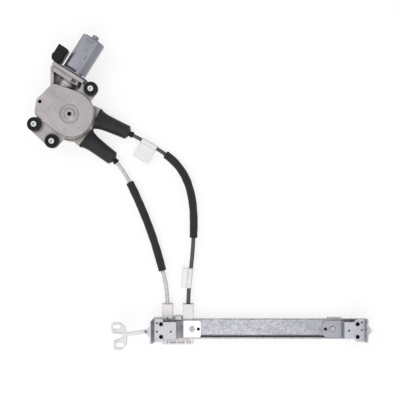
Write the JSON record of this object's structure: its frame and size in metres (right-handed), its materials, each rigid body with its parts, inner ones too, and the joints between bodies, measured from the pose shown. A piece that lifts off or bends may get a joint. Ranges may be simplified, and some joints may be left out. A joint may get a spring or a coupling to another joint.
{
  "type": "cable window regulator",
  "caption": "Cable window regulator: a geared motor winds two sheathed cables that slide a pressed rail through a guide block.",
  "frame": {"origin": "on the drum's axis, at the flat underside of the drum cover", "axes": "+X along the rail, away from the clip; +Z away from the surface that the drum cover faces; +Y from the rail towards the drive"},
  "size_m": [0.5574, 0.5132, 0.0578],
  "materials": {
    "cast_aluminium": "satin die-cast",
    "plated_steel": "drawn and zinc plated",
    "bright_steel": "turned bright steel",
    "galvanised_steel": "spangled galvanised sheet",
    "zinc_steel": "zinc-plated pressing",
    "black_rubber": "matte moulded rubber",
    "seal_rubber": "matte",
    "black_plastic": "fine moulded texture",
    "card_plastic": "smooth",
    "housing_plastic": "moulded, unpainted",
    "natural_plastic": "natural moulded",
    "clip_plastic": "natural moulded",
    "gear_plastic": "natural moulded",
    "dark_conduit": "semi-matte jacket",
    "white_conduit": "semi-matte jacket",
    "black_foam": "open-pored foam",
    "tag_film": "smooth film",
    "cable_steel": "stranded, greased",
    "spring_steel": "drawn wire",
    "damper_rubber": "matte",
    "magnet_ferrite": "sintered",
    "copper_winding": "enamelled",
    "commutator_copper": "turned",
    "terminal_brass": "tin-flashed",
    "bearing_bronze": "sintered",
    "brush_carbon": "pressed",
    "shaft_steel": "ground",
    "lamination_steel": "stamped"
  },
  "bodies": {
    "drive_unit": {"axle_pin": "shaft_steel", "block_cables": "cable_steel", "boot_lower": "black_rubber", "boot_upper": "black_rubber", "brush_card": "card_plastic", "brushes": "brush_carbon", "conduit_lower": "white_conduit", "conduit_upper": "dark_conduit", "connector_housing": "black_plastic", "connector_terminals": "terminal_brass", "drum_cover": "housing_plastic", "drum_housing": "housing_plastic", "ferrule_lower": "black_plastic", "ferrule_upper": "black_plastic", "foam_sleeve_lower": "black_foam", "foam_sleeve_upper": "black_foam", "front_bearing": "bearing_bronze", "gear_cover": "natural_plastic", "gear_housing": "cast_aluminium", "grommet_left": "black_rubber", "grommet_lower": "black_rubber", "grommet_upper": "black_rubber", "guide_block": "natural_plastic", "housing_screws": "bright_steel", "housing_seal": "seal_rubber", "magnets": "magnet_ferrite", "motor_can": "plated_steel", "motor_gasket": "seal_rubber", "motor_screws": "bright_steel", "outlet_cable_lower": "cable_steel", "outlet_cable_upper": "cable_steel", "rear_bearing": "bearing_bronze", "sleeve_left": "bright_steel", "sleeve_lower": "bright_steel", "sleeve_upper": "bright_steel", "tag_lower": "tag_film", "tag_upper": "tag_film", "tension_spring_lower": "spring_steel", "tension_spring_upper": "spring_steel", "thrust_pad": "gear_plastic"},
    "rail": {"rail": "galvanised_steel", "left_bracket": "zinc_steel", "right_bracket": "galvanised_steel", "rail_rivets": "bright_steel", "left_end_anchor": "natural_plastic", "right_end_anchor": "natural_plastic", "rail_cable": "cable_steel", "cable_nipples": "bright_steel"},
    "drum": {"cable_drum": "gear_plastic", "drum_windings": "cable_steel", "drive_carrier": "gear_plastic", "damper_ring": "damper_rubber", "worm_wheel": "gear_plastic"},
    "armature": {"motor_shaft": "shaft_steel", "lamination_stack": "lamination_steel", "armature_windings": "copper_winding", "commutator": "commutator_copper"},
    "clip": {"harness_clip": "clip_plastic"}
  },
  "joints": [
    {"name": "rail_slide", "type": "slide", "parent": "drive_unit", "child": "rail", "axis": [-1, 0, 0], "range_m": [0, 0.22]},
    {"name": "drum_turn", "type": "hinge", "parent": "drive_unit", "child": "drum", "pos_m": [0, 0, 0.012], "axis": [0, 0, 1], "range_deg": [0, 630.6]},
    {"name": "armature_turn", "type": "hinge", "parent": "drive_unit", "child": "armature", "pos_m": [-0.0275, 0.01732, 0.035], "axis": [0.5329, 0.8462, 0], "continuous": true},
    {"name": "clip_swivel", "type": "hinge", "parent": "rail", "child": "clip", "pos_m": [0.1234, -0.3517, 0.0457], "axis": [0, 0, 1], "range_deg": [-30, 30]}
  ],
  "couplings": [
    {"joint": "drum_turn", "follows": "rail_slide", "rad_per_m": 50},
    {"joint": "armature_turn", "follows": "rail_slide", "rad_per_m": 2200}
  ]
}
